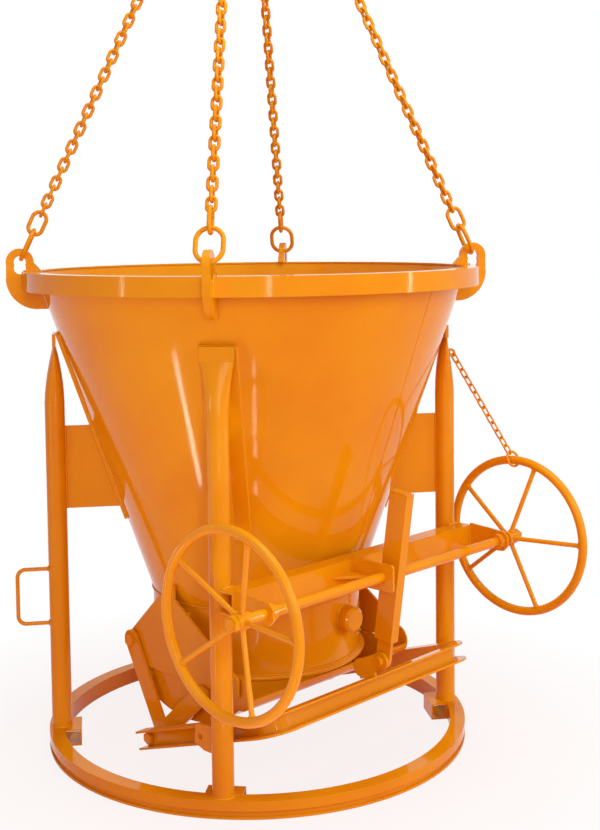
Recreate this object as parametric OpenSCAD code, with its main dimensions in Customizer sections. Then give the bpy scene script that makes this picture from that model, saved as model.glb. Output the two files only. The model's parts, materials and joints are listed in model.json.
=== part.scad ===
// Crane concrete bucket: a conical hopper on four tube legs, with a hinged bottom gate
// that a lever on a shaft with two handwheels works through a U-shaped pull yoke.
// X runs along the handwheel shaft, the handwheel side faces -Y, Z is up.
// The origin is the centre of the base ring on the ground.

/* [Hopper] */
// Height of the rim above the ground
rim_z = 1450; // [1380:5:1500]
// Outer radius of the rim angle
rim_r = 693; // [685:1:705]
// Height of the rim angle's upright leg
rim_band_h = 55; // [45:1:65]
// Thickness of the rim angle
rim_t = 6; // [4:1:8]
// Reach of the rim angle beyond the cone
rim_ledge = 37; // [31:1:48]
// Outer radius of the outlet collar
outlet_r = 322; // [316:1:326]
// Height where the cone meets the outlet collar
cone_foot_z = 470; // [460:1:480]
// Height of the collar's lower edge
collar_foot_z = 262; // [261:1:270]
// Thickness of the hopper sheet
sheet_t = 5; // [4:0.5:6]
// Diameter of the round bar round the collar's foot
collar_bar_d = 15; // [10:1:16]
// Width of the outlet floor outside the discharge mouth's front corners
mouth_edge = 11; // [9:1:30]
// Direction of the mouth's front corners from the line of the handwheel shaft
mouth_angle = 44; // [43:0.5:46]
// Width of the outlet floor behind the mouth
mouth_back = 180; // [176:1:190]

/* [Legs and base] */
// Distance of the legs' middles in from the base ring's edge
leg_inset = 38.2; // [34:0.1:40]
// Direction of the legs from the line of the handwheel shaft
leg_angle = 37; // [36.5:0.1:37.5]
// Outer diameter of the leg tube
leg_d = 60.3; // [54:0.1:64]
// Wall of the leg tube
leg_wall = 4; // [2.5:0.5:6]
// Length over which the tube flattens
leg_flat_l = 207; // [190:1:220]
// Distance of the legs' tops below the rim
leg_drop = 188; // [175:1:210]
// Width of the flattened top
leg_flat_w = 94; // [80:1:100]
// Thickness of the flattened top
leg_flat_t = 10; // [8:1:14]
// Width of the pad strip on the cone
pad_w = 100; // [96:1:120]
// Thickness of the pad strip
pad_t = 8; // [6:0.5:10]
// Distance of the leg gussets below the flattened part
gusset_drop = 76; // [60:1:100]
// Height of the leg gussets
gusset_h = 253; // [230:1:270]
// Thickness of the leg gusset
gusset_t = 10; // [8:1:12]
// Outer radius of the base ring
base_r = 648; // [645:1:660]
// Height of the base ring
base_h = 50; // [46:1:56]
// Radial width of the base ring
base_w = 45; // [40:1:48]
// Thickness of the base ring section
base_t = 6; // [5:0.5:8]
// Height of the band round the base ring's outer edge
base_lip_h = 28; // [20:1:32]
// Depth of the groove under that band
base_groove = 8; // [5:1:12]
// Length of the square foot stubs
stub_l = 105; // [80:1:120]
// Wall of the foot stubs
stub_wall = 4; // [3:0.5:6]
// Bar diameter of the grab handle
grab_d = 12; // [10:1:16]
// Reach of the grab handle from the leg
grab_reach = 94; // [70:1:110]
// Height of the grab handle's lower bar
grab_z0 = 372; // [340:2:400]
// Height of the grab handle's upper bar
grab_z1 = 540; // [500:2:580]

/* [Handwheels and lever] */
// Diameter of the handwheel shaft
shaft_d = 30; // [25:1:34]
// Distance of the shaft in front of the crossbeam
shaft_gap = 112; // [106:1:118]
// Height of the shaft
shaft_z = 592; // [588:1:600]
// Handwheel diameter to the middle of its tube
wheel_d = 480; // [420:5:490]
// Diameter of the handwheel tube
wheel_tube_d = 26.9; // [21:0.1:30]
// Offset of the handwheel rim from its hub
wheel_dish = 40; // [20:1:50]
// Diameter of the spokes
spoke_d = 14; // [10:1:16]
// Distance of the left hub beyond the legs
hub_over_left = 108; // [98:1:118]
// Distance of the right hub beyond the legs
hub_over_right = 78; // [73:1:103]
// Diameter of the hubs
hub_d = 44; // [44:1:52]
// Length of the hubs
hub_l = 44; // [40:1:50]
// Reach of the crossbeam beyond the legs' middles
beam_over = 30; // [28:1:33]
// Height of the crossbeam
beam_h = 65; // [60:1:80]
// Depth of the crossbeam, from the legs to its face
beam_depth = 53; // [48:1:58]
// Thickness of the crossbeam
beam_t = 6; // [5:0.5:8]
// Thickness of the bearing plates
bearing_t = 8; // [6:1:12]
// Height of the bearing plates
bearing_h = 78; // [72:1:86]
// Width of the lever
lever_w = 62; // [58:1:66]
// Thickness of the lever
lever_t = 32; // [30:1:34]
// Height of the lever above the shaft
lever_up = 236; // [200:2:250]
// Length of the lever below the shaft
lever_down = 197; // [180:1:205]
// Wall of the lever box
lever_wall = 5; // [4:0.5:6]

/* [Yoke and gate] */
// Distance of the lever pin behind the shaft
lever_pin_in = 37; // [34:0.5:40]
// Drop of the lever pin below the shaft
lever_drop = 257; // [254:0.5:260]
// Diameter of the lever pin
lever_pin_d = 20; // [16:1:22]
// Distance of the yoke pins in front of the gate hinge
yoke_pin_fore = 139; // [138:0.5:140]
// Drop of the yoke pins below the gate hinge
yoke_pin_drop = 253; // [252:0.5:254]
// Diameter of the yoke pins
yoke_pin_d = 20; // [16:1:22]
// Distance of the yoke's front behind the lever pin
yoke_back = 72; // [69:1:75]
// Gap between the gate arms and the yoke's webs
yoke_side = 38; // [33:1:41]
// Bend radius of the yoke
yoke_bend_r = 45; // [40:5:60]
// Height of the yoke channel
yoke_h = 54; // [48:1:56]
// Flange width of the yoke channel
yoke_flange = 40; // [34:1:42]
// Thickness of the yoke channel
yoke_t = 6; // [5:0.5:7]
// Distance behind the middle of the gate hinge
hinge_y = 172; // [171:0.5:173]
// Height of the gate hinge above the collar's foot
hinge_rise = 68; // [67:0.5:69]
// Diameter of the gate hinge pins
hinge_d = 24; // [20:1:26]
// Gap between the gate pan's cheeks and the hinge brackets
pan_gap = 5; // [4:0.5:11]
// Reach of the pan's rounded front beyond the collar
pan_over = 8; // [2:1:10]
// Radius of the pan's rounded front
pan_nose_r = 46; // [43:1:48]
// Depth of the pan
pan_depth = 122; // [118:1:126]
// Radius of the pan's belly
pan_belly_r = 340; // [336:1:344]
// Thickness of the pan sheet
pan_t = 6; // [4:0.5:8]
// Thickness of the gate arms
arm_t = 10; // [8:0.5:11]
// Width of the gate arms
arm_w = 56; // [44:1:60]
// Thickness of the hinge brackets
bracket_t = 8; // [6:0.5:9]

/* [Sling and lock chain] */
// Thickness of the lifting lugs
lug_t = 20; // [14:1:24]
// Hole radius of the lifting lugs
lug_hole_r = 18; // [17:0.5:20]
// Height of the middle of the master link's lower bow
sling_z = 3030; // [2900:10:3100]
// Wire diameter of the sling chain
chain_d = 10; // [8:0.5:10.5]
// Inner width of a sling chain link
chain_w = 14; // [13:0.5:16]
// Pitch of the sling chain
chain_pitch = 30; // [29:0.5:34]
// Wire diameter of the sling rings
ring_d = 13; // [12:0.5:14]
// Inner width of the sling rings
ring_w = 60; // [54:1:66]
// Inner length of the sling rings
ring_l = 83; // [80:1:92]
// Wire diameter of the joining links between ring and chain
join_d = 12; // [10:0.5:12]
// Inner width of the joining links
join_w = 30; // [28:1:34]
// Inner length of the joining links
join_l = 58; // [54:1:64]
// Wire diameter of the master link
master_d = 22; // [18:1:24]
// Wire diameter of the lock chain
lock_d = 5.5; // [4:0.5:6]
// Pitch of the lock chain
lock_pitch = 28; // [26:0.5:30]

/* [Hidden] */
$fn = 96;
// Clearances: running fit of a pin, loose fit of the yoke pins, gap between chain links
run_fit = 0.05;
yoke_play = 3;
link_gap = 0.2;
weld_bite = 0.5;

// Places that several pieces share
cone_top_r = rim_r - rim_ledge;
cone_top_z = rim_z - rim_t;
cone_rise = cone_top_z - cone_foot_z;
cone_slope = (cone_top_r - outlet_r) / cone_rise;
cone_tilt = atan(cone_slope);
leg_r = base_r - leg_inset;
leg_x = leg_r * cos(leg_angle);
leg_y = leg_r * sin(leg_angle);
leg_top_z = rim_z - leg_drop;
leg_round_z = leg_top_z - leg_flat_l;
leg_strip_h = 40;
LEG_AZIMUTHS = [leg_angle, 180 - leg_angle, 180 + leg_angle, -leg_angle];
pad_reach = (pad_t - weld_bite) / cos(cone_tilt);
gusset_z1 = leg_round_z - gusset_drop;
gusset_z0 = gusset_z1 - gusset_h;

// Crossbeam, shaft and lever
beam_back = leg_y + leg_d / 2;
beam_face = beam_back + beam_depth;
beam_end = leg_x + beam_over;
shaft_out = beam_face + shaft_gap;
hub_left = leg_x + hub_over_left;
hub_right = leg_x + hub_over_right;
bearing_over = 40;
bearing_gap = 60;
lever_x = -5;
lever_gap = 33;
middle_bearing_x = lever_x - lever_t / 2 - lever_gap;
BEARINGS_X = [-hub_left + hub_l / 2 + bearing_gap, middle_bearing_x, beam_end - bearing_t];
lever_lean = atan2(lever_pin_in, lever_drop);
lever_arm = norm([lever_pin_in, lever_drop]);
tongue_t = 12;
ear_t = 10;
ear_gap = 2;
ear_x = lever_x - tongue_t / 2 - ear_gap - ear_t;
nut_d = 32;
nut_h = 12;

// Gate, and yoke with its angle at the yoke pins between its web and the line to the lever pin
hinge_z = collar_foot_z + hinge_rise;
yoke_pin_y = hinge_y - yoke_pin_fore;
yoke_pin_z = hinge_z - yoke_pin_drop;
pin_run = shaft_out - lever_pin_in + yoke_pin_y;
pin_rise = shaft_z - lever_drop - yoke_pin_z;
ear_angle = 6.3;
ear_run = norm([pin_run, pin_rise]);
ear_pin = [-ear_run * cos(ear_angle), ear_run * sin(ear_angle)];
yoke_tilt = atan2(pin_rise, pin_run) - ear_angle;
yoke_l = -ear_pin.x - yoke_back;
bracket_gap = 9;
arm_gap = 3;
bracket_in = outlet_r + collar_bar_d + bracket_gap;
arm_in = bracket_in + bracket_t + arm_gap;
yoke_half_w = arm_in + arm_t + yoke_side;
pan_half_w = bracket_in - pan_gap;
foot_gap = 4;
pan_top = collar_foot_z - foot_gap;
pan_front = outlet_r + pan_over;
nose_rise = 6;
pan_nose = [-pan_front + pan_nose_r, pan_top + nose_rise];
belly_fore = 56;
pan_belly = [-belly_fore, pan_top - pan_depth + pan_belly_r];

// Sling and lock chain
eye_out = 9;
eye_up = 28;
eye = [rim_r + eye_out, rim_z + eye_up];
master_r = 86;
master_l = 230;
// Places of the back and front chains on either side of the master link's bow
bow_back = 9;
bow_front = 32;
BOW_ANGLES = [bow_back, bow_back, bow_front, bow_front];
lock_angle = 3;
lock_ring_r = 24;
lock_staple_r = 11;
lock_bar_d = 8;
lock_w = 12;
wheel_right_x = hub_right + wheel_dish;
staple_out = 25;
staple_drop = 92;
lock_from_r = leg_r + staple_out;
lock_from = [lock_from_r * cos(leg_angle), -lock_from_r * sin(leg_angle), leg_top_z - staple_drop];
ORANGE = [0.93, 0.50, 0.08];

function cone_r(z) = outlet_r + cone_slope * (z - cone_foot_z);
function unit(v) = v / norm(v);
// The lock chain ends at the top of the ring round the right handwheel's tube
function lock_mid() = [
    wheel_right_x,
    -shaft_out + wheel_d / 2 * sin(lock_angle),
    shaft_z + wheel_d / 2 * cos(lock_angle)
];

// Helpers

// Puts a piece drawn along +X at each leg's direction
module at_legs() {
    for (a = LEG_AZIMUTHS) rotate([0, 0, a]) children();
}

// Extrudes an outline given as (y, z) along X, from x for t
module x_plate(x, t) {
    translate([x, 0, 0]) rotate([90, 0, 90]) linear_extrude(t) children();
}

// A round bar along X
module x_rod(x, len, d, y, z, sides = 96) {
    translate([x, y, z]) rotate([0, 90, 0]) cylinder(d = d, h = len, $fn = sides);
}

// Draws a piece and its mirror image on the other side of the middle
module both_sides() {
    children();
    mirror([1, 0, 0]) children();
}

// A flat bar through points of an outline, with round eyes a little wider than the bar
module bar_outline(points, w) {
    for (k = [1 : len(points) - 1]) {
        a = points[k - 1];
        run = points[k] - a;
        translate(a) rotate(atan2(run.y, run.x)) translate([0, -w / 2]) square([norm(run), w]);
    }
    for (p = points) translate(p) circle(d = w + 4);
}

// An oval link in the XZ plane: its lower wire is centred on the origin, and it stands along +Z
module oval_link(inner_l, inner_w, wire) {
    bend = (inner_w + wire) / 2;
    run = inner_l + wire - 2 * bend;
    for (top = [0, 1])
        translate([0, 0, bend + top * run]) rotate([90, 0, 0]) rotate([0, 0, 180 * (1 - top)])
            rotate_extrude(angle = 180, $fn = 32) translate([bend, 0]) circle(d = wire, $fn = 16);
    for (side = [-1, 1])
        translate([side * bend, 0, bend]) cylinder(d = wire, h = run, $fn = 16);
}

// Stands a piece at p with its Z along dir and its X along wide
module stand(p, dir, wide) {
    side = cross(dir, wide);
    multmatrix([
        [wide.x, side.x, dir.x, p.x],
        [wide.y, side.y, dir.y, p.y],
        [wide.z, side.z, dir.z, p.z],
        [0, 0, 0, 1]
    ]) children();
}

// Hopper

module hopper_cone() {
    skin = sheet_t / cos(cone_tilt);
    color(ORANGE) rotate_extrude() polygon([
        [outlet_r - skin, cone_foot_z], [outlet_r, cone_foot_z],
        [cone_top_r, cone_top_z], [cone_top_r - skin, cone_top_z]
    ]);
}

module rim_angle() {
    inner = cone_top_r - sheet_t - 2;
    color(ORANGE) rotate_extrude() polygon([
        [inner, rim_z - rim_t], [rim_r - rim_t, rim_z - rim_t], [rim_r - rim_t, rim_z - rim_band_h],
        [rim_r, rim_z - rim_band_h], [rim_r, rim_z], [inner, rim_z]
    ]);
}

module outlet_collar() {
    color(ORANGE) translate([0, 0, collar_foot_z]) difference() {
        cylinder(r = outlet_r, h = cone_foot_z - collar_foot_z);
        translate([0, 0, -1]) cylinder(r = outlet_r - sheet_t, h = cone_foot_z - collar_foot_z + 2);
    }
}

module outlet_floor() {
    inside = outlet_r - sheet_t;
    corner = (inside - mouth_edge) * [cos(mouth_angle), sin(mouth_angle)];
    mouth = [2 * corner.x, corner.y + inside - mouth_back, sheet_t + 2];
    color(ORANGE) translate([0, 0, collar_foot_z]) difference() {
        cylinder(r = inside, h = sheet_t);
        translate([-corner.x, -corner.y, -1]) cube(mouth);
    }
}

module outlet_ring() {
    color(ORANGE) rotate_extrude()
        translate([outlet_r + collar_bar_d / 2 - weld_bite, collar_foot_z + collar_bar_d / 2])
            circle(d = collar_bar_d, $fn = 32);
}

module vibrator_boss() {
    boss_r = 39;
    boss_l = 80;
    boss_x = 60;
    boss_z = collar_foot_z + 140;
    edge = 8;
    color(ORANGE) difference() {
        translate([boss_x, -outlet_r + boss_l / 2, boss_z]) rotate([90, 0, 0]) rotate_extrude() polygon([
            [0, 0], [boss_r, 0], [boss_r, boss_l - edge], [boss_r - edge, boss_l], [0, boss_l]
        ]);
        cylinder(r = outlet_r, h = cone_foot_z);
    }
}

// Legs and base

// The flattened part of a leg, as rings of points from the round tube up to the flat strip.
// Its ends lie just inside the tube and the strip.
module leg_flare() {
    steps = 6;
    sides = 32;
    inside = 0.99;
    overlap = 3;
    foot = leg_round_z - overlap;
    rise = leg_top_z - leg_strip_h + overlap - foot;
    flat_r = cone_r(leg_top_z) + pad_reach + leg_flat_t / 2;
    function thick(t) = leg_d + (leg_flat_t - leg_d) * pow(t, 1.7);
    function wide(t) = leg_d + (leg_flat_w - leg_d) * t * t;
    points = [for (k = [0 : steps]) for (j = [0 : sides - 1]) let (t = k / steps, a = 360 * j / sides) [
        leg_r + (flat_r - leg_r) * t + inside * thick(t) / 2 * cos(a),
        inside * wide(t) / 2 * sin(a),
        foot + rise * t
    ]];
    lower_tips = [for (k = [1 : steps]) for (j = [0 : sides - 1]) [
        (k - 1) * sides + j, k * sides + j, k * sides + (j + 1) % sides
    ]];
    upper_tips = [for (k = [1 : steps]) for (j = [0 : sides - 1]) [
        (k - 1) * sides + j, k * sides + (j + 1) % sides, (k - 1) * sides + (j + 1) % sides
    ]];
    ends = [[for (j = [0 : sides - 1]) j], [for (j = [1 : sides]) (steps + 1) * sides - j]];
    polyhedron(points, concat(ends, lower_tips, upper_tips));
}

module leg(azimuth) {
    color(ORANGE) rotate([0, 0, azimuth]) {
        difference() {
            translate([leg_r, 0, base_h]) cylinder(d = leg_d, h = leg_round_z - base_h);
            translate([leg_r, 0, base_h - 1])
                cylinder(d = leg_d - 2 * leg_wall, h = leg_round_z - base_h - 9);
        }
        leg_flare();
        translate([cone_r(leg_top_z) + pad_reach, -leg_flat_w / 2, leg_top_z - leg_strip_h])
            cube([leg_flat_t, leg_flat_w, leg_strip_h]);
    }
}

module leg_back_right() { leg(LEG_AZIMUTHS[0]); }
module leg_back_left() { leg(LEG_AZIMUTHS[1]); }
module leg_front_left() { leg(LEG_AZIMUTHS[2]); }
module leg_front_right() { leg(LEG_AZIMUTHS[3]); }

module leg_pads() {
    pad_z0 = gusset_z0 - 30;
    pad_l = (leg_top_z + 6 - pad_z0) / cos(cone_tilt);
    color(ORANGE) at_legs() translate([cone_r(pad_z0), 0, pad_z0]) rotate([0, cone_tilt, 0])
        translate([-weld_bite, -pad_w / 2, 0]) cube([pad_t, pad_w, pad_l]);
}

module leg_gussets() {
    leg_in = leg_r - leg_d / 2;
    color(ORANGE) at_legs() rotate([90, 0, 0]) linear_extrude(gusset_t, center = true) polygon([
        [cone_r(gusset_z0) + pad_reach, gusset_z0], [leg_in, gusset_z0],
        [leg_in, gusset_z1], [cone_r(gusset_z1) + pad_reach, gusset_z1]
    ]);
}

module base_ring() {
    web = base_r - base_w;
    wall = base_r - base_groove;
    color(ORANGE) rotate_extrude() polygon([
        [web, 0], [web + base_t, 0], [web + base_t, base_h - base_t], [wall - base_t, base_h - base_t],
        [wall - base_t, 0], [base_r, 0], [base_r, base_t], [wall, base_t],
        [wall, base_h - base_lip_h], [base_r, base_h - base_lip_h], [base_r, base_h], [web, base_h]
    ]);
}

module foot_stubs() {
    stub_out = sqrt(pow(base_r - base_w, 2) - pow(stub_l / 2, 2)) - 0.1;
    color(ORANGE) at_legs() difference() {
        translate([stub_out - base_h, -stub_l / 2, 0]) cube([base_h, stub_l, base_h]);
        translate([stub_out - base_h + stub_wall, -stub_l / 2 - 1, stub_wall])
            cube([base_h - 2 * stub_wall, stub_l + 2, base_h - 2 * stub_wall]);
    }
}

module grab_handle() {
    bend = 24;
    far = leg_r + leg_d / 2 + grab_reach - bend;
    color(ORANGE) rotate([0, 0, LEG_AZIMUTHS[1]]) difference() {
        union() {
            for (z = [grab_z0, grab_z1])
                translate([leg_r, 0, z]) rotate([0, 90, 0]) cylinder(d = grab_d, h = far - leg_r, $fn = 32);
            translate([far + bend, 0, grab_z0 + bend])
                cylinder(d = grab_d, h = grab_z1 - grab_z0 - 2 * bend, $fn = 32);
            for (top = [0, 1])
                translate([far, 0, top ? grab_z1 - bend : grab_z0 + bend]) rotate([90, 0, 0])
                    rotate([0, 0, top ? 0 : -90]) rotate_extrude(angle = 90, $fn = 64)
                        translate([bend, 0]) circle(d = grab_d, $fn = 32);
        }
        translate([leg_r, 0, 0]) cylinder(d = leg_d, h = rim_z);
    }
}

// A plate with a hole, welded to the back of the front left leg
module leg_eye_plate() {
    plate_t = 10;
    reach = 109;
    top = 236;
    foot = 155;
    color(ORANGE) difference() {
        x_plate(-leg_x - plate_t / 2, plate_t) difference() {
            polygon([
                [-leg_y, top], [-leg_y + reach - 4, top - 16], [-leg_y + reach, foot + 12],
                [-leg_y + reach - 40, foot], [-leg_y, foot]
            ]);
            translate([-leg_y + reach - 24, foot + 35]) circle(r = 8);
        }
        translate([-leg_x, -leg_y, 0]) cylinder(d = leg_d, h = rim_z);
    }
}

// Crossbeam and bearings

module crossbeam() {
    low = shaft_z - beam_h / 2;
    color(ORANGE) x_plate(-beam_end, 2 * beam_end) polygon([
        [-beam_back, low], [-beam_face, low], [-beam_face, low + beam_h], [-beam_back, low + beam_h],
        [-beam_back, low + beam_h - beam_t], [-beam_face + beam_t, low + beam_h - beam_t],
        [-beam_face + beam_t, low + beam_t], [-beam_back, low + beam_t]
    ]);
}

module bearing_hole() {
    translate([-shaft_out, shaft_z]) circle(d = shaft_d + 2 * run_fit);
}

// An outer bearing plate, which tapers towards the shaft and has its end corners cut off
module tapered_plate(x) {
    end_r = 30;
    half = bearing_h / 2;
    color(ORANGE) x_plate(x, bearing_t) difference() {
        polygon([
            [-beam_face, shaft_z - half], [-shaft_out - end_r / 2, shaft_z - end_r],
            [-shaft_out - end_r, shaft_z - end_r / 2], [-shaft_out - end_r, shaft_z + end_r / 2],
            [-shaft_out - end_r / 2, shaft_z + end_r], [-beam_face, shaft_z + half]
        ]);
        bearing_hole();
    }
}

module bearing_plate_left() { tapered_plate(BEARINGS_X[0]); }
module bearing_plate_right() { tapered_plate(BEARINGS_X[2]); }

module bearing_plate_middle() {
    low = shaft_z - bearing_h / 2;
    front = shaft_out + bearing_over;
    cut = 6;
    color(ORANGE) x_plate(middle_bearing_x, bearing_t) difference() {
        polygon([
            [-beam_face, low], [-front + cut, low], [-front, low + cut],
            [-front, low + bearing_h - cut], [-front + cut, low + bearing_h],
            [-beam_face, low + bearing_h]
        ]);
        bearing_hole();
    }
}

module beam_gusset() {
    along = 82;
    out = 60;
    rise = 22;
    color(ORANGE) translate([middle_bearing_x, -beam_face, shaft_z - beam_h / 2 + rise]) rotate([0, 0, 180])
        linear_extrude(bearing_t) polygon([[0, 0], [along, 0], [0, out]]);
}

// Gate hinge brackets on the collar

module hinge_bracket() {
    eye_r = 30;
    fore = outlet_r - 36;
    peak = [-17, cone_foot_z + 60];
    block = [100, cone_foot_z - collar_foot_z - 68];
    bite = 20;
    color(ORANGE) {
        x_plate(bracket_in, bracket_t) difference() {
            union() {
                polygon([
                    peak, [60, cone_foot_z + 8], [hinge_y + 14, hinge_z + 24], [hinge_y - 4, hinge_z - 26],
                    [hinge_y - 60, pan_top], [-fore, pan_top], [-fore, collar_foot_z + 47], peak - [0, 42]
                ]);
                translate([hinge_y, hinge_z]) circle(r = eye_r);
            }
            translate([hinge_y, hinge_z]) circle(d = hinge_d + 2 * run_fit);
        }
        difference() {
            translate([outlet_r - bite, -block.x / 2, collar_foot_z + 48])
                cube([bracket_in - outlet_r + bite, block.x, block.y]);
            cylinder(r = outlet_r, h = cone_foot_z);
        }
    }
}

module hinge_bracket_right() { hinge_bracket(); }
module hinge_bracket_left() { mirror([1, 0, 0]) hinge_bracket(); }

// Sling

module lifting_lugs() {
    lug_drop = 114;
    lug_edge = 23;
    slot_l = 18;
    low_z = rim_z - lug_drop;
    band_z = rim_z - rim_band_h;
    head_r = lug_hole_r + lug_edge;
    tail = [rim_r - 43, rim_z - 20];
    tail_r = tail.y - low_z;
    color(ORANGE) at_legs() rotate([90, 0, 0]) linear_extrude(lug_t, center = true) difference() {
        union() {
            translate(eye) circle(r = head_r);
            polygon([
                [eye.x - head_r + 1, eye.y], [eye.x + head_r - 1, eye.y], [tail.x + tail_r - 1, tail.y - 1],
                [tail.x + 1, low_z + 0.5], [cone_r(low_z), low_z + 0.5], [cone_r(low_z), tail.y]
            ]);
            intersection() {
                translate(tail) circle(r = tail_r);
                translate([tail.x, low_z - 1]) square([tail_r + 1, tail_r + 1]);
            }
        }
        polygon([
            [0, low_z - 5], [cone_r(low_z - 5) + 1, low_z - 5], [cone_r(band_z) + 1, band_z],
            [rim_r, band_z], [rim_r, rim_z], [0, rim_z]
        ]);
        bar_outline([eye, eye - [0, slot_l]], 2 * lug_hole_r - 4);
    }
}

// Where the chain at a leg's direction starts, in the lug's eye, and ends, on the master link's bow
function sling_foot(i) =
    [eye.x * cos(LEG_AZIMUTHS[i]), eye.x * sin(LEG_AZIMUTHS[i]), eye.y];
function bow_side(i) = cos(LEG_AZIMUTHS[i]) > 0 ? 1 : -1;
function sling_head(i) =
    [bow_side(i) * master_r * sin(BOW_ANGLES[i]), 0, sling_z - master_r * cos(BOW_ANGLES[i])];
function sling_dir(i) = unit(sling_head(i) - sling_foot(i));
function square_to(v, dir) = unit(v - (v * dir) * dir);
function lug_across(i) = square_to([-sin(LEG_AZIMUTHS[i]), cos(LEG_AZIMUTHS[i]), 0], sling_dir(i));
function bow_across(i) =
    unit(cross(sling_dir(i), [cos(BOW_ANGLES[i]), 0, bow_side(i) * sin(BOW_ANGLES[i])]));
// v, which is square to dir, turned round dir
function turned(v, dir, angle) = cos(angle) * v + sin(angle) * cross(dir, v);
// The smallest turn round the chain from the ring in the lug to the ring on the bow, either way up
function sling_turn(i) =
    atan2(cross(lug_across(i), bow_across(i)) * sling_dir(i), lug_across(i) * bow_across(i));
function sling_twist(i) = sling_turn(i) - 180 * round(sling_turn(i) / 180);
// Distances along a sling leg: the ring wires in the eye and over the bow, what a ring and a joining
// link take up, and how far the next link's wire hooks back
eye_rise = lug_hole_r - ring_d / 2 - 2;
bow_rise = (master_d + ring_d) / 2 + 1;
ring_run = ring_l + ring_d;
join_run = join_l + join_d;
ring_hook = (ring_d + join_d) / 2 + link_gap;
join_hook = (join_d + chain_d) / 2 + link_gap;
end_run = ring_run - ring_hook + join_run - join_hook;
function chain_span(i) =
    norm(sling_head(i) - sling_foot(i)) - eye_rise + bow_rise - 2 * end_run - chain_d - link_gap;
// An odd number of links, so that both joining links stand the same way
function odd_count(span, pitch) = 2 * round((span / pitch - 1) / 2) + 1;

module sling_rings() {
    color(ORANGE) for (i = [0 : 3]) {
        dir = sling_dir(i);
        stand(sling_foot(i) + eye_rise * dir, dir, lug_across(i)) oval_link(ring_l, ring_w, ring_d);
        stand(sling_head(i) + (bow_rise - ring_run) * dir, dir, bow_across(i))
            oval_link(ring_l, ring_w, ring_d);
    }
}

// A chain of count links from p along dir. Its first link stands crosswise to wide, and the links
// share out a twist along the chain.
module chain(p, dir, wide, count, pitch, inner_w, wire, twist = 0) {
    for (k = [0 : count - 1])
        stand(p + k * pitch * dir, dir, turned(wide, dir, 90 * (k + 1) + twist * (k + 1) / (count + 1)))
            oval_link(pitch + link_gap, inner_w, wire);
}

module sling_chain(i) {
    dir = sling_dir(i);
    wide = cross(dir, lug_across(i));
    twist = sling_twist(i);
    join_at = sling_foot(i) + (eye_rise + ring_run - ring_hook) * dir;
    start = join_at + (join_run - join_hook) * dir;
    span = chain_span(i);
    count = odd_count(span, chain_pitch);
    color(ORANGE) {
        stand(join_at, dir, wide) oval_link(join_l, join_w, join_d);
        chain(start, dir, wide, count, span / count, chain_w, chain_d, twist);
        stand(start + (span + chain_d + link_gap - join_hook) * dir, dir, turned(wide, dir, twist))
            oval_link(join_l, join_w, join_d);
    }
}

module sling_chain_back_right() { sling_chain(0); }
module sling_chain_back_left() { sling_chain(1); }
module sling_chain_front_left() { sling_chain(2); }
module sling_chain_front_right() { sling_chain(3); }

module master_link() {
    color(ORANGE) translate([0, 0, sling_z - master_r])
        oval_link(master_l, 2 * master_r - master_d, master_d);
}

// Lock chain of the right handwheel

lock_dir = unit(lock_from - lock_mid());
lock_across = square_to([0, 1, 0], lock_dir);
lock_ring_at = lock_mid() + 4 * lock_dir;

// A closed bar ring at p, in the plane of the lock chain
module lock_loop(p, r) {
    color(ORANGE) stand(p, lock_across, lock_dir) rotate_extrude($fn = 64)
        translate([r, 0]) circle(d = lock_bar_d, $fn = 24);
}

module lock_staple() { lock_loop(lock_from, lock_staple_r); }
module lock_ring() { lock_loop(lock_ring_at, lock_ring_r); }

module lock_chain() {
    hook = (lock_bar_d + lock_d) / 2 + link_gap;
    foot = lock_ring_at + (lock_ring_r - hook) * lock_dir;
    span = norm(lock_from - foot) - lock_staple_r + hook - lock_d - link_gap;
    count = odd_count(span, lock_pitch);
    color(ORANGE) chain(foot, lock_dir, cross(lock_dir, lock_across), count, span / count,
        lock_w, lock_d);
}

// Handwheel shaft

module shaft() {
    end = hub_l / 2 + 20;
    left = hub_left + end;
    right = hub_right + end;
    color(ORANGE) x_rod(-left, left + right, shaft_d, -shaft_out, shaft_z);
}

module shaft_collars() {
    collar_w = 20;
    collar_d = shaft_d + 18;
    side_gap = 1;
    left = BEARINGS_X[0] + bearing_t + side_gap;
    right = BEARINGS_X[2] - side_gap - collar_w;
    color(ORANGE) for (x = [left, right]) difference() {
        x_rod(x, collar_w, collar_d, -shaft_out, shaft_z);
        x_rod(x - 1, collar_w + 2, shaft_d, -shaft_out, shaft_z);
    }
}

// A dished handwheel with its hub on the origin and its rim towards +Z
module handwheel(first_spoke) {
    spoke_from = hub_d / 2 - 6;
    spoke_out = wheel_d / 2 - spoke_from;
    color(ORANGE) {
        difference() {
            union() {
                translate([0, 0, -hub_l / 2]) cylinder(d = hub_d, h = hub_l);
                for (k = [0 : 4]) rotate([0, 0, first_spoke + 72 * k]) translate([spoke_from, 0, 0])
                    rotate([0, atan2(spoke_out, wheel_dish), 0])
                        cylinder(d = spoke_d, h = norm([spoke_out, wheel_dish]), $fn = 32);
            }
            translate([0, 0, -hub_l]) cylinder(d = shaft_d, h = 2 * hub_l);
        }
        translate([0, 0, wheel_dish]) rotate_extrude() translate([wheel_d / 2, 0])
            circle(d = wheel_tube_d, $fn = 32);
    }
}

module handwheel_left() {
    translate([-hub_left, -shaft_out, shaft_z]) rotate([0, -90, 0]) handwheel(-17);
}

module handwheel_right() {
    translate([hub_right, -shaft_out, shaft_z]) rotate([0, 90, 0]) handwheel(197);
}

module hub_nuts() {
    width = shaft_d + 16;
    height = 16;
    color(ORANGE) for (x = [-hub_left - hub_l / 2 - height, hub_right + hub_l / 2]) difference() {
        x_rod(x, height, width, -shaft_out, shaft_z, 6);
        x_rod(x - 1, height + 2, shaft_d, -shaft_out, shaft_z);
    }
}

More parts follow.
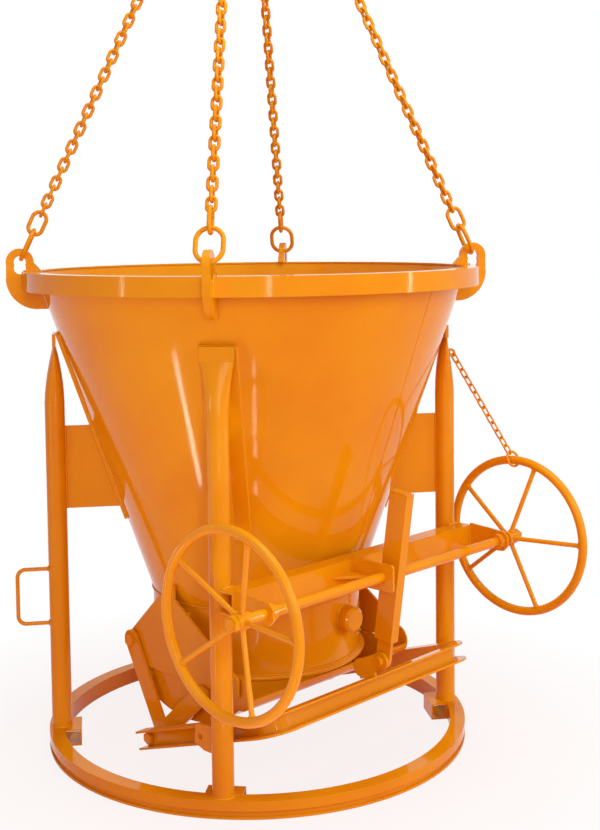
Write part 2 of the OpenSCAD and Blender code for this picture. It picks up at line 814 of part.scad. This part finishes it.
// Places a piece drawn with its shaft hole at the origin and the lever pin straight below
module on_lever() {
    translate([lever_x, -shaft_out, shaft_z]) rotate([lever_lean, 0, 0]) children();
}

module lever_box() {
    color(ORANGE) on_lever() difference() {
        translate([-lever_t / 2, -lever_w / 2, -lever_down]) cube([lever_t, lever_w, lever_up + lever_down]);
        translate([-lever_t / 2 + lever_wall, -lever_w / 2 + lever_wall, -lever_down + 8])
            cube([lever_t - 2 * lever_wall, lever_w - 2 * lever_wall, lever_up + lever_down]);
        x_rod(-lever_t, 2 * lever_t, shaft_d, 0, 0);
    }
}

module lever_cap() {
    color(ORANGE) on_lever() translate([-lever_t / 2, -lever_w / 2, lever_up]) cube([lever_t, lever_w, 6]);
}

module lever_tongue() {
    color(ORANGE) on_lever() x_plate(-tongue_t / 2, tongue_t) difference() {
        union() {
            translate([-24, -lever_arm]) square([48, lever_arm - lever_down]);
            translate([0, -lever_arm]) circle(r = 24);
        }
        translate([0, -lever_arm]) circle(d = lever_pin_d + 2 * run_fit);
    }
}

// Yoke, drawn flat round the yoke pins and then tilted

module on_yoke() {
    translate([0, yoke_pin_y, yoke_pin_z]) rotate([-yoke_tilt, 0, 0]) children();
}

module channel_outline() {
    half = yoke_h / 2;
    polygon([
        [0, -half], [yoke_flange, -half], [yoke_flange, yoke_t - half], [yoke_t, yoke_t - half],
        [yoke_t, half - yoke_t], [yoke_flange, half - yoke_t], [yoke_flange, half], [0, half]
    ]);
}

module yoke_channel() {
    tail = 20;
    bend_x = yoke_half_w - yoke_bend_r;
    bend_y = yoke_l - yoke_bend_r;
    color(ORANGE) on_yoke() difference() {
        union() {
            both_sides() {
                translate([yoke_half_w, tail, 0]) rotate([90, 0, 0]) linear_extrude(bend_y + tail)
                    channel_outline();
                translate([bend_x, -bend_y, 0]) rotate([0, 0, -90]) rotate_extrude(angle = 90)
                    translate([yoke_bend_r, 0]) channel_outline();
            }
            translate([bend_x, -yoke_l, 0]) rotate([0, 0, -90]) rotate([90, 0, 0])
                linear_extrude(2 * bend_x) channel_outline();
        }
        x_rod(-2 * yoke_half_w, 4 * yoke_half_w, yoke_pin_d + 2 * yoke_play, 0, 0);
    }
}

module yoke_ear() {
    foot = [-yoke_l - yoke_flange, yoke_h / 2];
    ear_w = 48;
    color(ORANGE) on_yoke() x_plate(ear_x, ear_t) difference() {
        union() {
            bar_outline([[foot.x + 50, foot.y + 31], ear_pin], ear_w);
            translate(foot) square([60, 30]);
        }
        translate(ear_pin) circle(d = lever_pin_d);
    }
}

module ear_bolt() {
    tail = 4;
    color(ORANGE) on_yoke() {
        x_rod(ear_x - nut_h, nut_h, nut_d, ear_pin.x, ear_pin.y, 6);
        x_rod(ear_x, ear_t + tongue_t + 2 * ear_gap + nut_h + tail, lever_pin_d, ear_pin.x, ear_pin.y);
        x_rod(lever_x + tongue_t / 2 + ear_gap, nut_h, nut_d, ear_pin.x, ear_pin.y, 6);
    }
}

// Gate

// The pan's side outline as (y, z), made smaller all round by inset
module pan_outline(inset, top) {
    back_lean = 0.55;
    back = hinge_y - 12 - inset;
    front = pan_nose.x - 15 + inset;
    deep = pan_depth + 38;
    intersection() {
        translate(pan_belly) circle(r = pan_belly_r - inset);
        polygon([
            [back, top], [front, top],
            [front, pan_top - deep], [back - back_lean * deep, pan_top - deep]
        ]);
    }
    translate(pan_nose) circle(r = pan_nose_r - inset);
}

// A round-bellied trough whose cheeks rise beside the collar at the front
module gate_pan() {
    inside = pan_half_w - pan_t;
    color(ORANGE) difference() {
        x_plate(-pan_half_w, 2 * pan_half_w) pan_outline(0, pan_top);
        x_plate(-inside, 2 * inside) pan_outline(pan_t, pan_top + 1);
        translate([-inside, -pan_front - 1, pan_top]) cube([2 * inside, 2 * pan_front, 2 * pan_nose_r]);
    }
}

// Where the arms are fixed to the pan's cheeks, as (y, z)
spacer_d = 40;
spacer_z = pan_top - 26;
arm_fore = 140;
arm_share = (spacer_z - yoke_pin_z) / yoke_pin_drop;
SPACERS = [[-arm_fore, spacer_z], [yoke_pin_y + yoke_pin_fore * arm_share, spacer_z]];

module gate_arm() {
    hinge = [hinge_y, hinge_z];
    pin = [yoke_pin_y, yoke_pin_z];
    color(ORANGE) x_plate(arm_in, arm_t) difference() {
        bar_outline([hinge, pin, SPACERS[0]], arm_w);
        translate(hinge) circle(d = hinge_d);
        translate(pin) circle(d = yoke_pin_d);
    }
}

module gate_arm_right() { gate_arm(); }
module gate_arm_left() { mirror([1, 0, 0]) gate_arm(); }

module arm_spacers() {
    color(ORANGE) both_sides() for (s = SPACERS)
        x_rod(pan_half_w, arm_in - pan_half_w, spacer_d, s.x, s.y);
}

module hinge_pins() {
    color(ORANGE) both_sides() {
        x_rod(bracket_in - 4, arm_in + arm_t - bracket_in + 4, hinge_d, hinge_y, hinge_z);
        x_rod(arm_in + arm_t, 10, hinge_d + 14, hinge_y, hinge_z, 6);
    }
}

module yoke_pins() {
    head_x = yoke_half_w + yoke_t + 3;
    color(ORANGE) both_sides() {
        x_rod(arm_in, head_x - arm_in, yoke_pin_d, yoke_pin_y, yoke_pin_z);
        x_rod(head_x, 10, yoke_pin_d + 16, yoke_pin_y, yoke_pin_z, 6);
    }
}

hopper_cone();
rim_angle();
outlet_collar();
outlet_floor();
outlet_ring();
vibrator_boss();
leg_back_right();
leg_back_left();
leg_front_left();
leg_front_right();
leg_pads();
leg_gussets();
base_ring();
foot_stubs();
grab_handle();
leg_eye_plate();
crossbeam();
bearing_plate_left();
bearing_plate_middle();
bearing_plate_right();
beam_gusset();
hinge_bracket_left();
hinge_bracket_right();
lifting_lugs();
sling_rings();
sling_chain_back_right();
sling_chain_back_left();
sling_chain_front_left();
sling_chain_front_right();
master_link();
lock_staple();
lock_chain();
lock_ring();
shaft();
shaft_collars();
handwheel_left();
handwheel_right();
hub_nuts();
lever_box();
lever_cap();
lever_tongue();
yoke_channel();
yoke_ear();
ear_bolt();
gate_pan();
gate_arm_left();
gate_arm_right();
arm_spacers();
hinge_pins();
yoke_pins();
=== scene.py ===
"""Looks of the concrete bucket: gloss orange paint, weld beads and studio light round the CAD frame."""

import json
import math

import bpy
from mathutils import Matrix, Vector


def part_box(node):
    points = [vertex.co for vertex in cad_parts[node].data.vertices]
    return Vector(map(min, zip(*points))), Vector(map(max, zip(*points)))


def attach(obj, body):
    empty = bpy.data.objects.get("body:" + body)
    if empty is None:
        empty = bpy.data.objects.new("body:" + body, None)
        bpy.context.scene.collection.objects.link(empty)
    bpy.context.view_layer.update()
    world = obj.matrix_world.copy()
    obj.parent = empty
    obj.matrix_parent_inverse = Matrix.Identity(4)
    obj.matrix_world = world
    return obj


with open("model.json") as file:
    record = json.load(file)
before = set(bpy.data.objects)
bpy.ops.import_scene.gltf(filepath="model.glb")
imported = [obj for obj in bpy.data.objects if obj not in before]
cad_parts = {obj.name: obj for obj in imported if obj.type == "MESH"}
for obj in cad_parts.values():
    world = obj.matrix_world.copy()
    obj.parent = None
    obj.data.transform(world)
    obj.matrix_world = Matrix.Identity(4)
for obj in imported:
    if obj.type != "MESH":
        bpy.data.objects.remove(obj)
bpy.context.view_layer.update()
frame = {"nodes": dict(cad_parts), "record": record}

# Photograph: its height in pixels, and the camera fitted to it in metres and degrees
IMAGE_H = 830
FOCAL_PX = 1283.3
AXIS_PX_ABOVE_MIDDLE = 98.3
CAMERA_AT = Vector((-2.747, -2.862, 1.5706))
CAMERA_AZIMUTH = 44.07
CAMERA_DOWN = 3.95
CAMERA_ROLL = -0.65
SENSOR_MM = 36

# Paint colours, linear
ORANGE = (0.80, 0.325, 0.004)
ORANGE_DEEP = (0.77, 0.275, 0.004)
ORANGE_PALE = (0.83, 0.36, 0.005)

# Paint finish: scales of its noises, strength and depth of its grain, radius of its edges, specular level
TONE_SCALE, GLOSS_SCALE, GRAIN_SCALE = 2.6, 9.0, 160.0
GRAIN_STRENGTH, GRAIN_DEPTH = 0.05, 0.0006
EDGE_R = 0.002
SPECULAR = 0.14
GLOSS_ROUGHNESS = (0.06, 0.11)
CHAIN_ROUGHNESS = (0.14, 0.24)

# Light, linear: slightly yellow lamps, a warm ambient light and a floor that throws a warm light back
LAMP_LIGHT = (0.93, 1, 0.78)
AMBIENT_LIGHT = (1, 0.22, 0.08)
AMBIENT_STRENGTH = 0.26
FLOOR_COLOUR = (0.85, 0.36, 0.22)
WHITE = (1, 1, 1, 1)

# Floor: its radius and depth in metres, and how its middle fades to white between two radii
FLOOR_R, FLOOR_DROP = 14, 0.001
FADE_FROM_R, FADE_TO_R = 0.5, 1.4
MIDDLE_WHITENESS = 0.85

# Places on the frame that the weld beads follow, in metres
LEG_X, LEG_Y = 0.487, 0.367
LEG_R = math.hypot(LEG_X, LEG_Y)
LEG_TUBE_R = 0.03015
LEG_AZIMUTH = math.atan2(LEG_Y, LEG_X)
LEG_AZIMUTHS = [LEG_AZIMUTH, math.pi - LEG_AZIMUTH, math.pi + LEG_AZIMUTH, -LEG_AZIMUTH]
RIM_Z, RIM_R, RIM_BAND = 1.450, 0.693, 0.055
OUTLET_R, CONE_FOOT_Z = 0.322, 0.470
CONE_TOP_R, CONE_TOP_Z = 0.656, 1.444
CONE_SLOPE = (CONE_TOP_R - OUTLET_R) / (CONE_TOP_Z - CONE_FOOT_Z)
PAD_REACH, PAD_HALF_W = 0.0079, 0.050
PAD_FOOT_GAP, PAD_HEAD_GAP = 0.003, 0.006
SEAM_AZIMUTH = math.radians(-82)
SEAM_RISE = 0.010
BOSS_X, BOSS_Z, BOSS_R = 0.060, 0.402, 0.039
GRAB_Z, GRAB_R = (0.372, 0.540), 0.006
EYE_PLATE_Z, EYE_PLATE_HALF_T = (0.155, 0.236), 0.005
GUSSET_Z = (0.726, 0.979)
GUSSET_HALF_T = 0.005
BASE_H = 0.050
LUG_HALF_T = 0.010
LUG_OVER_RIM = 0.020
BEAM_WELD_HALF_W = 0.020
SHAFT_OUT, SHAFT_Z = 0.562, 0.592
WHEEL_R, WHEEL_TUBE_R, WHEEL_DISH = 0.240, 0.01345, 0.040
HUB_R, SPOKE_R = 0.022, 0.007
SPOKES, FIRST_SPOKE = 5, math.radians(17)
SPOKE_SUNK = 0.006
HUB_WELD_OUT = 0.007
RIM_WELD_GAP = 0.0005

# Weld beads: half widths, the length of one ripple and how much the beads swell and wander
BEAD_R = 0.0038
SEAM_BEAD_R = 0.0012
WHEEL_BEAD_R = 0.0028
BEAD_SIDES = 6
RIPPLE = 0.008
STEPS_PER_RIPPLE = 4
SWELL, WANDER, WANDER_TURN = 0.10, 0.06, 0.37
END_TAPER = 0.4


def make_camera():
    data = bpy.data.cameras.new("camera")
    data.sensor_fit = "VERTICAL"
    data.sensor_height = SENSOR_MM
    data.lens = FOCAL_PX * SENSOR_MM / IMAGE_H
    data.shift_y = -AXIS_PX_ABOVE_MIDDLE / IMAGE_H
    data.clip_end = 100
    camera = bpy.data.objects.new("camera", data)
    turn = Matrix.Rotation(math.radians(CAMERA_AZIMUTH - 90), 4, "Z")
    tilt = Matrix.Rotation(math.radians(90 - CAMERA_DOWN), 4, "X")
    roll = Matrix.Rotation(math.radians(CAMERA_ROLL), 4, "Z")
    camera.matrix_world = Matrix.Translation(CAMERA_AT) @ turn @ tilt @ roll
    bpy.context.collection.objects.link(camera)
    bpy.context.scene.camera = camera


class Nodes:
    """A material's node tree, with short calls to add and link nodes."""

    def __init__(self, material):
        material.use_nodes = True
        self.tree = material.node_tree
        self.tree.nodes.clear()

    def add(self, kind, **settings):
        node = self.tree.nodes.new(kind)
        for name, value in settings.items():
            setattr(node, name, value)
        return node

    def link(self, source, target):
        self.tree.links.new(source, target)

    def noise(self, scale, detail=3.0, rough=0.55):
        coords = self.add("ShaderNodeTexCoord")
        noise = self.add("ShaderNodeTexNoise")
        noise.inputs["Scale"].default_value = scale
        noise.inputs["Detail"].default_value = detail
        noise.inputs["Roughness"].default_value = rough
        self.link(coords.outputs["Object"], noise.inputs["Vector"])
        return noise.outputs["Fac"]

    def spread(self, value, low, high, out_low, out_high):
        spread = self.add("ShaderNodeMapRange")
        spread.inputs["From Min"].default_value = low
        spread.inputs["From Max"].default_value = high
        spread.inputs["To Min"].default_value = out_low
        spread.inputs["To Max"].default_value = out_high
        self.link(value, spread.inputs["Value"])
        return spread.outputs["Result"]


def paint_material(name, rough_low, rough_high):
    material = bpy.data.materials.new(name)
    nodes = Nodes(material)
    out = nodes.add("ShaderNodeOutputMaterial")
    shader = nodes.add("ShaderNodeBsdfPrincipled")
    nodes.link(shader.outputs["BSDF"], out.inputs["Surface"])
    tone = nodes.add("ShaderNodeValToRGB")
    tone.color_ramp.elements[0].position = 0.30
    tone.color_ramp.elements[0].color = (*ORANGE_DEEP, 1)
    tone.color_ramp.elements[1].position = 0.72
    tone.color_ramp.elements[1].color = (*ORANGE_PALE, 1)
    middle = tone.color_ramp.elements.new(0.5)
    middle.color = (*ORANGE, 1)
    nodes.link(nodes.noise(TONE_SCALE, 5.0), tone.inputs["Fac"])
    nodes.link(tone.outputs["Color"], shader.inputs["Base Color"])
    rough = nodes.spread(nodes.noise(GLOSS_SCALE, 4.0), 0.3, 0.7, rough_low, rough_high)
    nodes.link(rough, shader.inputs["Roughness"])
    bump = nodes.add("ShaderNodeBump")
    bump.inputs["Strength"].default_value = GRAIN_STRENGTH
    bump.inputs["Distance"].default_value = GRAIN_DEPTH
    nodes.link(nodes.noise(GRAIN_SCALE, 2.0), bump.inputs["Height"])
    bevel = nodes.add("ShaderNodeBevel", samples=4)
    bevel.inputs["Radius"].default_value = EDGE_R
    nodes.link(bevel.outputs["Normal"], bump.inputs["Normal"])
    nodes.link(bump.outputs["Normal"], shader.inputs["Normal"])
    shader.inputs["Specular IOR Level"].default_value = SPECULAR
    return material


def floor_material():
    material = bpy.data.materials.new("floor")
    nodes = Nodes(material)
    out = nodes.add("ShaderNodeOutputMaterial")
    diffuse = nodes.add("ShaderNodeBsdfDiffuse")
    diffuse.inputs["Color"].default_value = (*FLOOR_COLOUR, 1)
    white = nodes.add("ShaderNodeEmission")
    white.inputs["Color"].default_value = WHITE
    coords = nodes.add("ShaderNodeTexCoord")
    reach = nodes.add("ShaderNodeVectorMath", operation="LENGTH")
    nodes.link(coords.outputs["Object"], reach.inputs[0])
    fade = nodes.spread(reach.outputs["Value"], FADE_FROM_R, FADE_TO_R, MIDDLE_WHITENESS, 1.0)
    path = nodes.add("ShaderNodeLightPath")
    sight = nodes.add("ShaderNodeMath", operation="MAXIMUM")
    nodes.link(path.outputs["Is Camera Ray"], sight.inputs[0])
    nodes.link(path.outputs["Is Glossy Ray"], sight.inputs[1])
    part = nodes.add("ShaderNodeMath", operation="MULTIPLY")
    nodes.link(fade, part.inputs[0])
    nodes.link(sight.outputs["Value"], part.inputs[1])
    mix = nodes.add("ShaderNodeMixShader")
    nodes.link(part.outputs["Value"], mix.inputs["Fac"])
    nodes.link(diffuse.outputs["BSDF"], mix.inputs[1])
    nodes.link(white.outputs["Emission"], mix.inputs[2])
    nodes.link(mix.outputs["Shader"], out.inputs["Surface"])
    return material


def make_floor():
    bpy.ops.mesh.primitive_circle_add(
        vertices=96, radius=FLOOR_R, fill_type="NGON", location=(0, 0, -FLOOR_DROP))
    floor = bpy.context.object
    floor.name = "floor"
    floor.data.materials.append(floor_material())


def make_world():
    world = bpy.data.worlds.new("studio")
    bpy.context.scene.world = world
    world.use_nodes = True
    tree = world.node_tree
    tree.nodes.clear()
    out = tree.nodes.new("ShaderNodeOutputWorld")
    seen = tree.nodes.new("ShaderNodeBackground")
    seen.inputs["Color"].default_value = WHITE
    seen.inputs["Strength"].default_value = 1.0
    light = tree.nodes.new("ShaderNodeBackground")
    light.inputs["Color"].default_value = (*AMBIENT_LIGHT, 1)
    light.inputs["Strength"].default_value = AMBIENT_STRENGTH
    path = tree.nodes.new("ShaderNodeLightPath")
    sight = tree.nodes.new("ShaderNodeMath")
    sight.operation = "MAXIMUM"
    tree.links.new(path.outputs["Is Camera Ray"], sight.inputs[0])
    tree.links.new(path.outputs["Is Glossy Ray"], sight.inputs[1])
    mix = tree.nodes.new("ShaderNodeMixShader")
    tree.links.new(sight.outputs["Value"], mix.inputs["Fac"])
    tree.links.new(light.outputs["Background"], mix.inputs[1])
    tree.links.new(seen.outputs["Background"], mix.inputs[2])
    tree.links.new(mix.outputs["Shader"], out.inputs["Surface"])


def area_light(name, place, aim, size, power, spread=180, mirrored=True):
    data = bpy.data.lights.new(name, "AREA")
    data.shape = "RECTANGLE"
    data.size, data.size_y = size
    data.energy = power
    data.color = LAMP_LIGHT
    data.spread = math.radians(spread)
    lamp = bpy.data.objects.new(name, data)
    lamp.location = place
    lamp.rotation_euler = (Vector(aim) - Vector(place)).to_track_quat("-Z", "Y").to_euler()
    lamp.visible_camera = False
    lamp.visible_glossy = mirrored
    bpy.context.collection.objects.link(lamp)


def make_lights():
    area_light("key", (0.6, -4.3, 2.7), (0, 0, 0.9), (2.2, 2.2), 66)
    area_light("fill", (-3.1, -3.0, 2.3), (0, 0, 0.8), (1.6, 1.6), 40)
    area_light("top", (-0.5, -1.2, 4.5), (0, 0, 1.0), (2.4, 2.4), 84)
    area_light("back", (2.6, 3.6, 2.4), (0, 0, 0.9), (2.4, 2.4), 120, mirrored=False)
    area_light("strip_left", (-2.56, 0.44, 0.75), (0, 0, 0.75), (0.06, 1.4), 6)
    area_light("strip_front", (-2.7, -3.6, 0.8), (0, 0, 0.8), (0.12, 1.5), 14)
    area_light("strip_right", (1.9, -3.2, 1.0), (0, 0, 0.8), (0.10, 1.8), 18)
    # Low lamps, which the downward facing cone mirrors as streaks
    area_light("low_front", (-0.90, -0.94, 0.18), (-0.35, -0.36, 1.05), (0.04, 0.5), 0.2, 80)
    area_light("low_left", (-1.43, -0.12, 0.18), (-0.53, -0.20, 1.20), (0.06, 0.5), 0.7, 80)


def paint_nodes(body, chain):
    slots = {part["node"]: part["material_slot"] for part in frame["record"]["subparts"]}
    for name, node in frame["nodes"].items():
        paint = chain if slots[name] == "chain_paint" else body
        for slot in node.material_slots:
            slot.material = paint


def cone_r(z):
    return OUTLET_R + CONE_SLOPE * (z - CONE_FOOT_Z)


def polar(r, azimuth, across, z):
    """A point at radius r in a leg's direction, moved sideways by across."""
    c, s = math.cos(azimuth), math.sin(azimuth)
    return Vector((r * c - across * s, r * s + across * c, z))


def line(a, b):
    """Points along a straight seam, a few to each ripple."""
    count = max(2, int((Vector(b) - Vector(a)).length / (RIPPLE / STEPS_PER_RIPPLE)))
    return [Vector(a).lerp(Vector(b), k / count) for k in range(count + 1)]


def circle(centre, u, v, r):
    """Points round a ring seam in the plane of u and v."""
    count = max(16, int(2 * math.pi * r / (RIPPLE / STEPS_PER_RIPPLE)))
    turns = [2 * math.pi * k / count for k in range(count)]
    return [Vector(centre) + r * (math.cos(t) * Vector(u) + math.sin(t) * Vector(v)) for t in turns]


def bead_rings(path, closed, radius):
    """Rings of vertices round a path, swelling once in each ripple."""
    turns = [2 * math.pi * n / BEAD_SIDES for n in range(BEAD_SIDES)]
    rings = []
    for k, point in enumerate(path):
        before = path[k - 1] if closed or k else point
        after = path[(k + 1) % len(path)] if closed or k + 1 < len(path) else point
        ahead = (after - before).normalized()
        up = Vector((0, 0, 1)) if abs(ahead.z) < 0.9 else Vector((1, 0, 0))
        side = ahead.cross(up).normalized()
        up = side.cross(ahead)
        ripple = SWELL * math.cos(2 * math.pi * k / STEPS_PER_RIPPLE)
        swell = radius * (1 + ripple + WANDER * math.sin(k * WANDER_TURN))
        if not closed and k in (0, len(path) - 1):
            swell *= END_TAPER
        rings.append([point + swell * (math.cos(t) * side + math.sin(t) * up) for t in turns])
    return rings


def weld(name, body, paint, seams, radius=BEAD_R):
    """One piece of weld beads on a body; a seam is (points, closed)."""
    verts, faces = [], []
    for path, closed in seams:
        rings = bead_rings(path, closed, radius)
        start, sides = len(verts), BEAD_SIDES
        for ring in rings:
            verts.extend(ring)
        spans = len(rings) if closed else len(rings) - 1
        for k in range(spans):
            a, b = start + k * sides, start + (k + 1) % len(rings) * sides
            for n in range(sides):
                m = (n + 1) % sides
                faces.append((a + n, a + m, b + m, b + n))
        if not closed:
            last = start + (len(rings) - 1) * sides
            faces.append([start + n for n in reversed(range(sides))])
            faces.append([last + n for n in range(sides)])
    mesh = bpy.data.meshes.new(name)
    mesh.from_pydata(verts, [], faces)
    mesh.polygons.foreach_set("use_smooth", [True] * len(mesh.polygons))
    mesh.materials.append(paint)
    piece = bpy.data.objects.new(name, mesh)
    bpy.context.collection.objects.link(piece)
    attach(piece, body)


def boss_seam():
    """Points where the round boss meets the collar."""
    count = 120
    turns = [2 * math.pi * k / count for k in range(count)]
    ring = [(BOSS_X + BOSS_R * math.cos(t), BOSS_Z + BOSS_R * math.sin(t)) for t in turns]
    return [Vector((x, -math.sqrt(OUTLET_R ** 2 - x ** 2), z)) for x, z in ring]


def hopper_welds(paint):
    x, y = (1, 0, 0), (0, 1, 0)
    ring_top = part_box("outlet_ring")[1][2]
    foot_proud, ring_proud = 0.001, 0.002
    seams = [
        (circle((0, 0, CONE_FOOT_Z), x, y, OUTLET_R + foot_proud), True),
        (circle((0, 0, ring_top), x, y, OUTLET_R + ring_proud), True),
        (boss_seam(), True),
    ]
    weld("weld_hopper", "bucket", paint, seams)
    low, high = CONE_FOOT_Z + SEAM_RISE, RIM_Z - RIM_BAND
    seam = line(polar(cone_r(low), SEAM_AZIMUTH, 0, low), polar(cone_r(high), SEAM_AZIMUTH, 0, high))
    weld("weld_cone_seam", "bucket", paint, [(seam, False)], SEAM_BEAD_R)


def gusset_seams(azimuth):
    """Both sides of a gusset, along its leg and along its pad."""
    low, high = GUSSET_Z
    leg_in = LEG_R - LEG_TUBE_R
    seams = []
    for across in (-GUSSET_HALF_T, GUSSET_HALF_T):
        seams.append((line(polar(leg_in, azimuth, across, low), polar(leg_in, azimuth, across, high)), False))
        foot = polar(cone_r(low) + PAD_REACH, azimuth, across, low)
        head = polar(cone_r(high) + PAD_REACH, azimuth, across, high)
        seams.append((line(foot, head), False))
    return seams


def pad_seams(azimuth):
    """Both sides of a pad, along the cone."""
    low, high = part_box("leg_pads")[0][2] + PAD_FOOT_GAP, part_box("leg_pads")[1][2] - PAD_HEAD_GAP
    seams = []
    for across in (-PAD_HALF_W, PAD_HALF_W):
        foot = polar(math.sqrt(cone_r(low) ** 2 - across ** 2), azimuth, across, low)
        head = polar(math.sqrt(cone_r(high) ** 2 - across ** 2), azimuth, across, high)
        seams.append((line(foot, head), False))
    return seams


def leg_welds(paint):
    seams = []
    for azimuth in LEG_AZIMUTHS:
        seams.append((circle(polar(LEG_R, azimuth, 0, BASE_H), (1, 0, 0), (0, 1, 0), LEG_TUBE_R), True))
        seams.extend(gusset_seams(azimuth))
        seams.extend(pad_seams(azimuth))
    handle = LEG_AZIMUTHS[1]
    sideways = polar(0, handle, 1, 0)
    for z in GRAB_Z:
        seams.append((circle(polar(LEG_R + LEG_TUBE_R, handle, 0, z), sideways, (0, 0, 1), GRAB_R), True))
    for across in (-EYE_PLATE_HALF_T, EYE_PLATE_HALF_T):
        x, y = -LEG_X + across, -LEG_Y + LEG_TUBE_R
        seams.append((line((x, y, EYE_PLATE_Z[0]), (x, y, EYE_PLATE_Z[1])), False))
    weld("weld_legs", "bucket", paint, seams)


def lug_welds(paint):
    seams = []
    for azimuth in LEG_AZIMUTHS:
        for across in (-LUG_HALF_T, LUG_HALF_T):
            foot = polar(RIM_R, azimuth, across, RIM_Z - RIM_BAND)
            edge = polar(RIM_R, azimuth, across, RIM_Z)
            inside = polar(RIM_R - LUG_OVER_RIM, azimuth, across, RIM_Z)
            seams.append((line(foot, edge), False))
            seams.append((line(inside, edge), False))
    weld("weld_lugs", "bucket", paint, seams)


def beam_welds(paint):
    low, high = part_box("crossbeam")
    seams = []
    for plate in ("bearing_plate_left", "bearing_plate_middle", "bearing_plate_right"):
        for x in (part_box(plate)[0][0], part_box(plate)[1][0]):
            seams.append((line((x, low[1], low[2]), (x, low[1], high[2])), False))
    for x in (-LEG_X, LEG_X):
        for z in (low[2], high[2]):
            start, end = (x - BEAM_WELD_HALF_W, high[1], z), (x + BEAM_WELD_HALF_W, high[1], z)
            seams.append((line(start, end), False))
    weld("weld_beam", "bucket", paint, seams)


def wheel_welds(paint):
    """Beads where the spokes meet the hub and the tube of both handwheels."""
    seams = []
    for node, outward in (("handwheel_left", -1), ("handwheel_right", 1)):
        low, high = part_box(node)
        rim_x = low[0] + WHEEL_TUBE_R if outward < 0 else high[0] - WHEEL_TUBE_R
        hub = Vector((rim_x - outward * WHEEL_DISH, -SHAFT_OUT, SHAFT_Z))
        for k in range(SPOKES):
            turn = FIRST_SPOKE + 2 * math.pi * k / SPOKES
            out = Vector((0, -math.sin(turn), math.cos(turn)))
            start = hub + (HUB_R - SPOKE_SUNK) * out
            end = hub + WHEEL_R * out + Vector((outward * WHEEL_DISH, 0, 0))
            ahead = (end - start).normalized()
            side = ahead.cross(Vector((1, 0, 0))).normalized()
            up = side.cross(ahead)
            seams.append((circle(start + HUB_WELD_OUT * ahead, side, up, SPOKE_R), True))
            seams.append((circle(end - (WHEEL_TUBE_R + RIM_WELD_GAP) * ahead, side, up, SPOKE_R), True))
    weld("weld_wheels", "wheel_shaft", paint, seams, WHEEL_BEAD_R)


bpy.context.scene.view_settings.view_transform = "Standard"
make_camera()
make_world()
make_floor()
make_lights()
gloss_orange = paint_material("gloss_orange", *GLOSS_ROUGHNESS)
chain_orange = paint_material("chain_orange", *CHAIN_ROUGHNESS)
paint_nodes(gloss_orange, chain_orange)
hopper_welds(gloss_orange)
leg_welds(gloss_orange)
lug_welds(gloss_orange)
beam_welds(gloss_orange)
wheel_welds(gloss_orange)
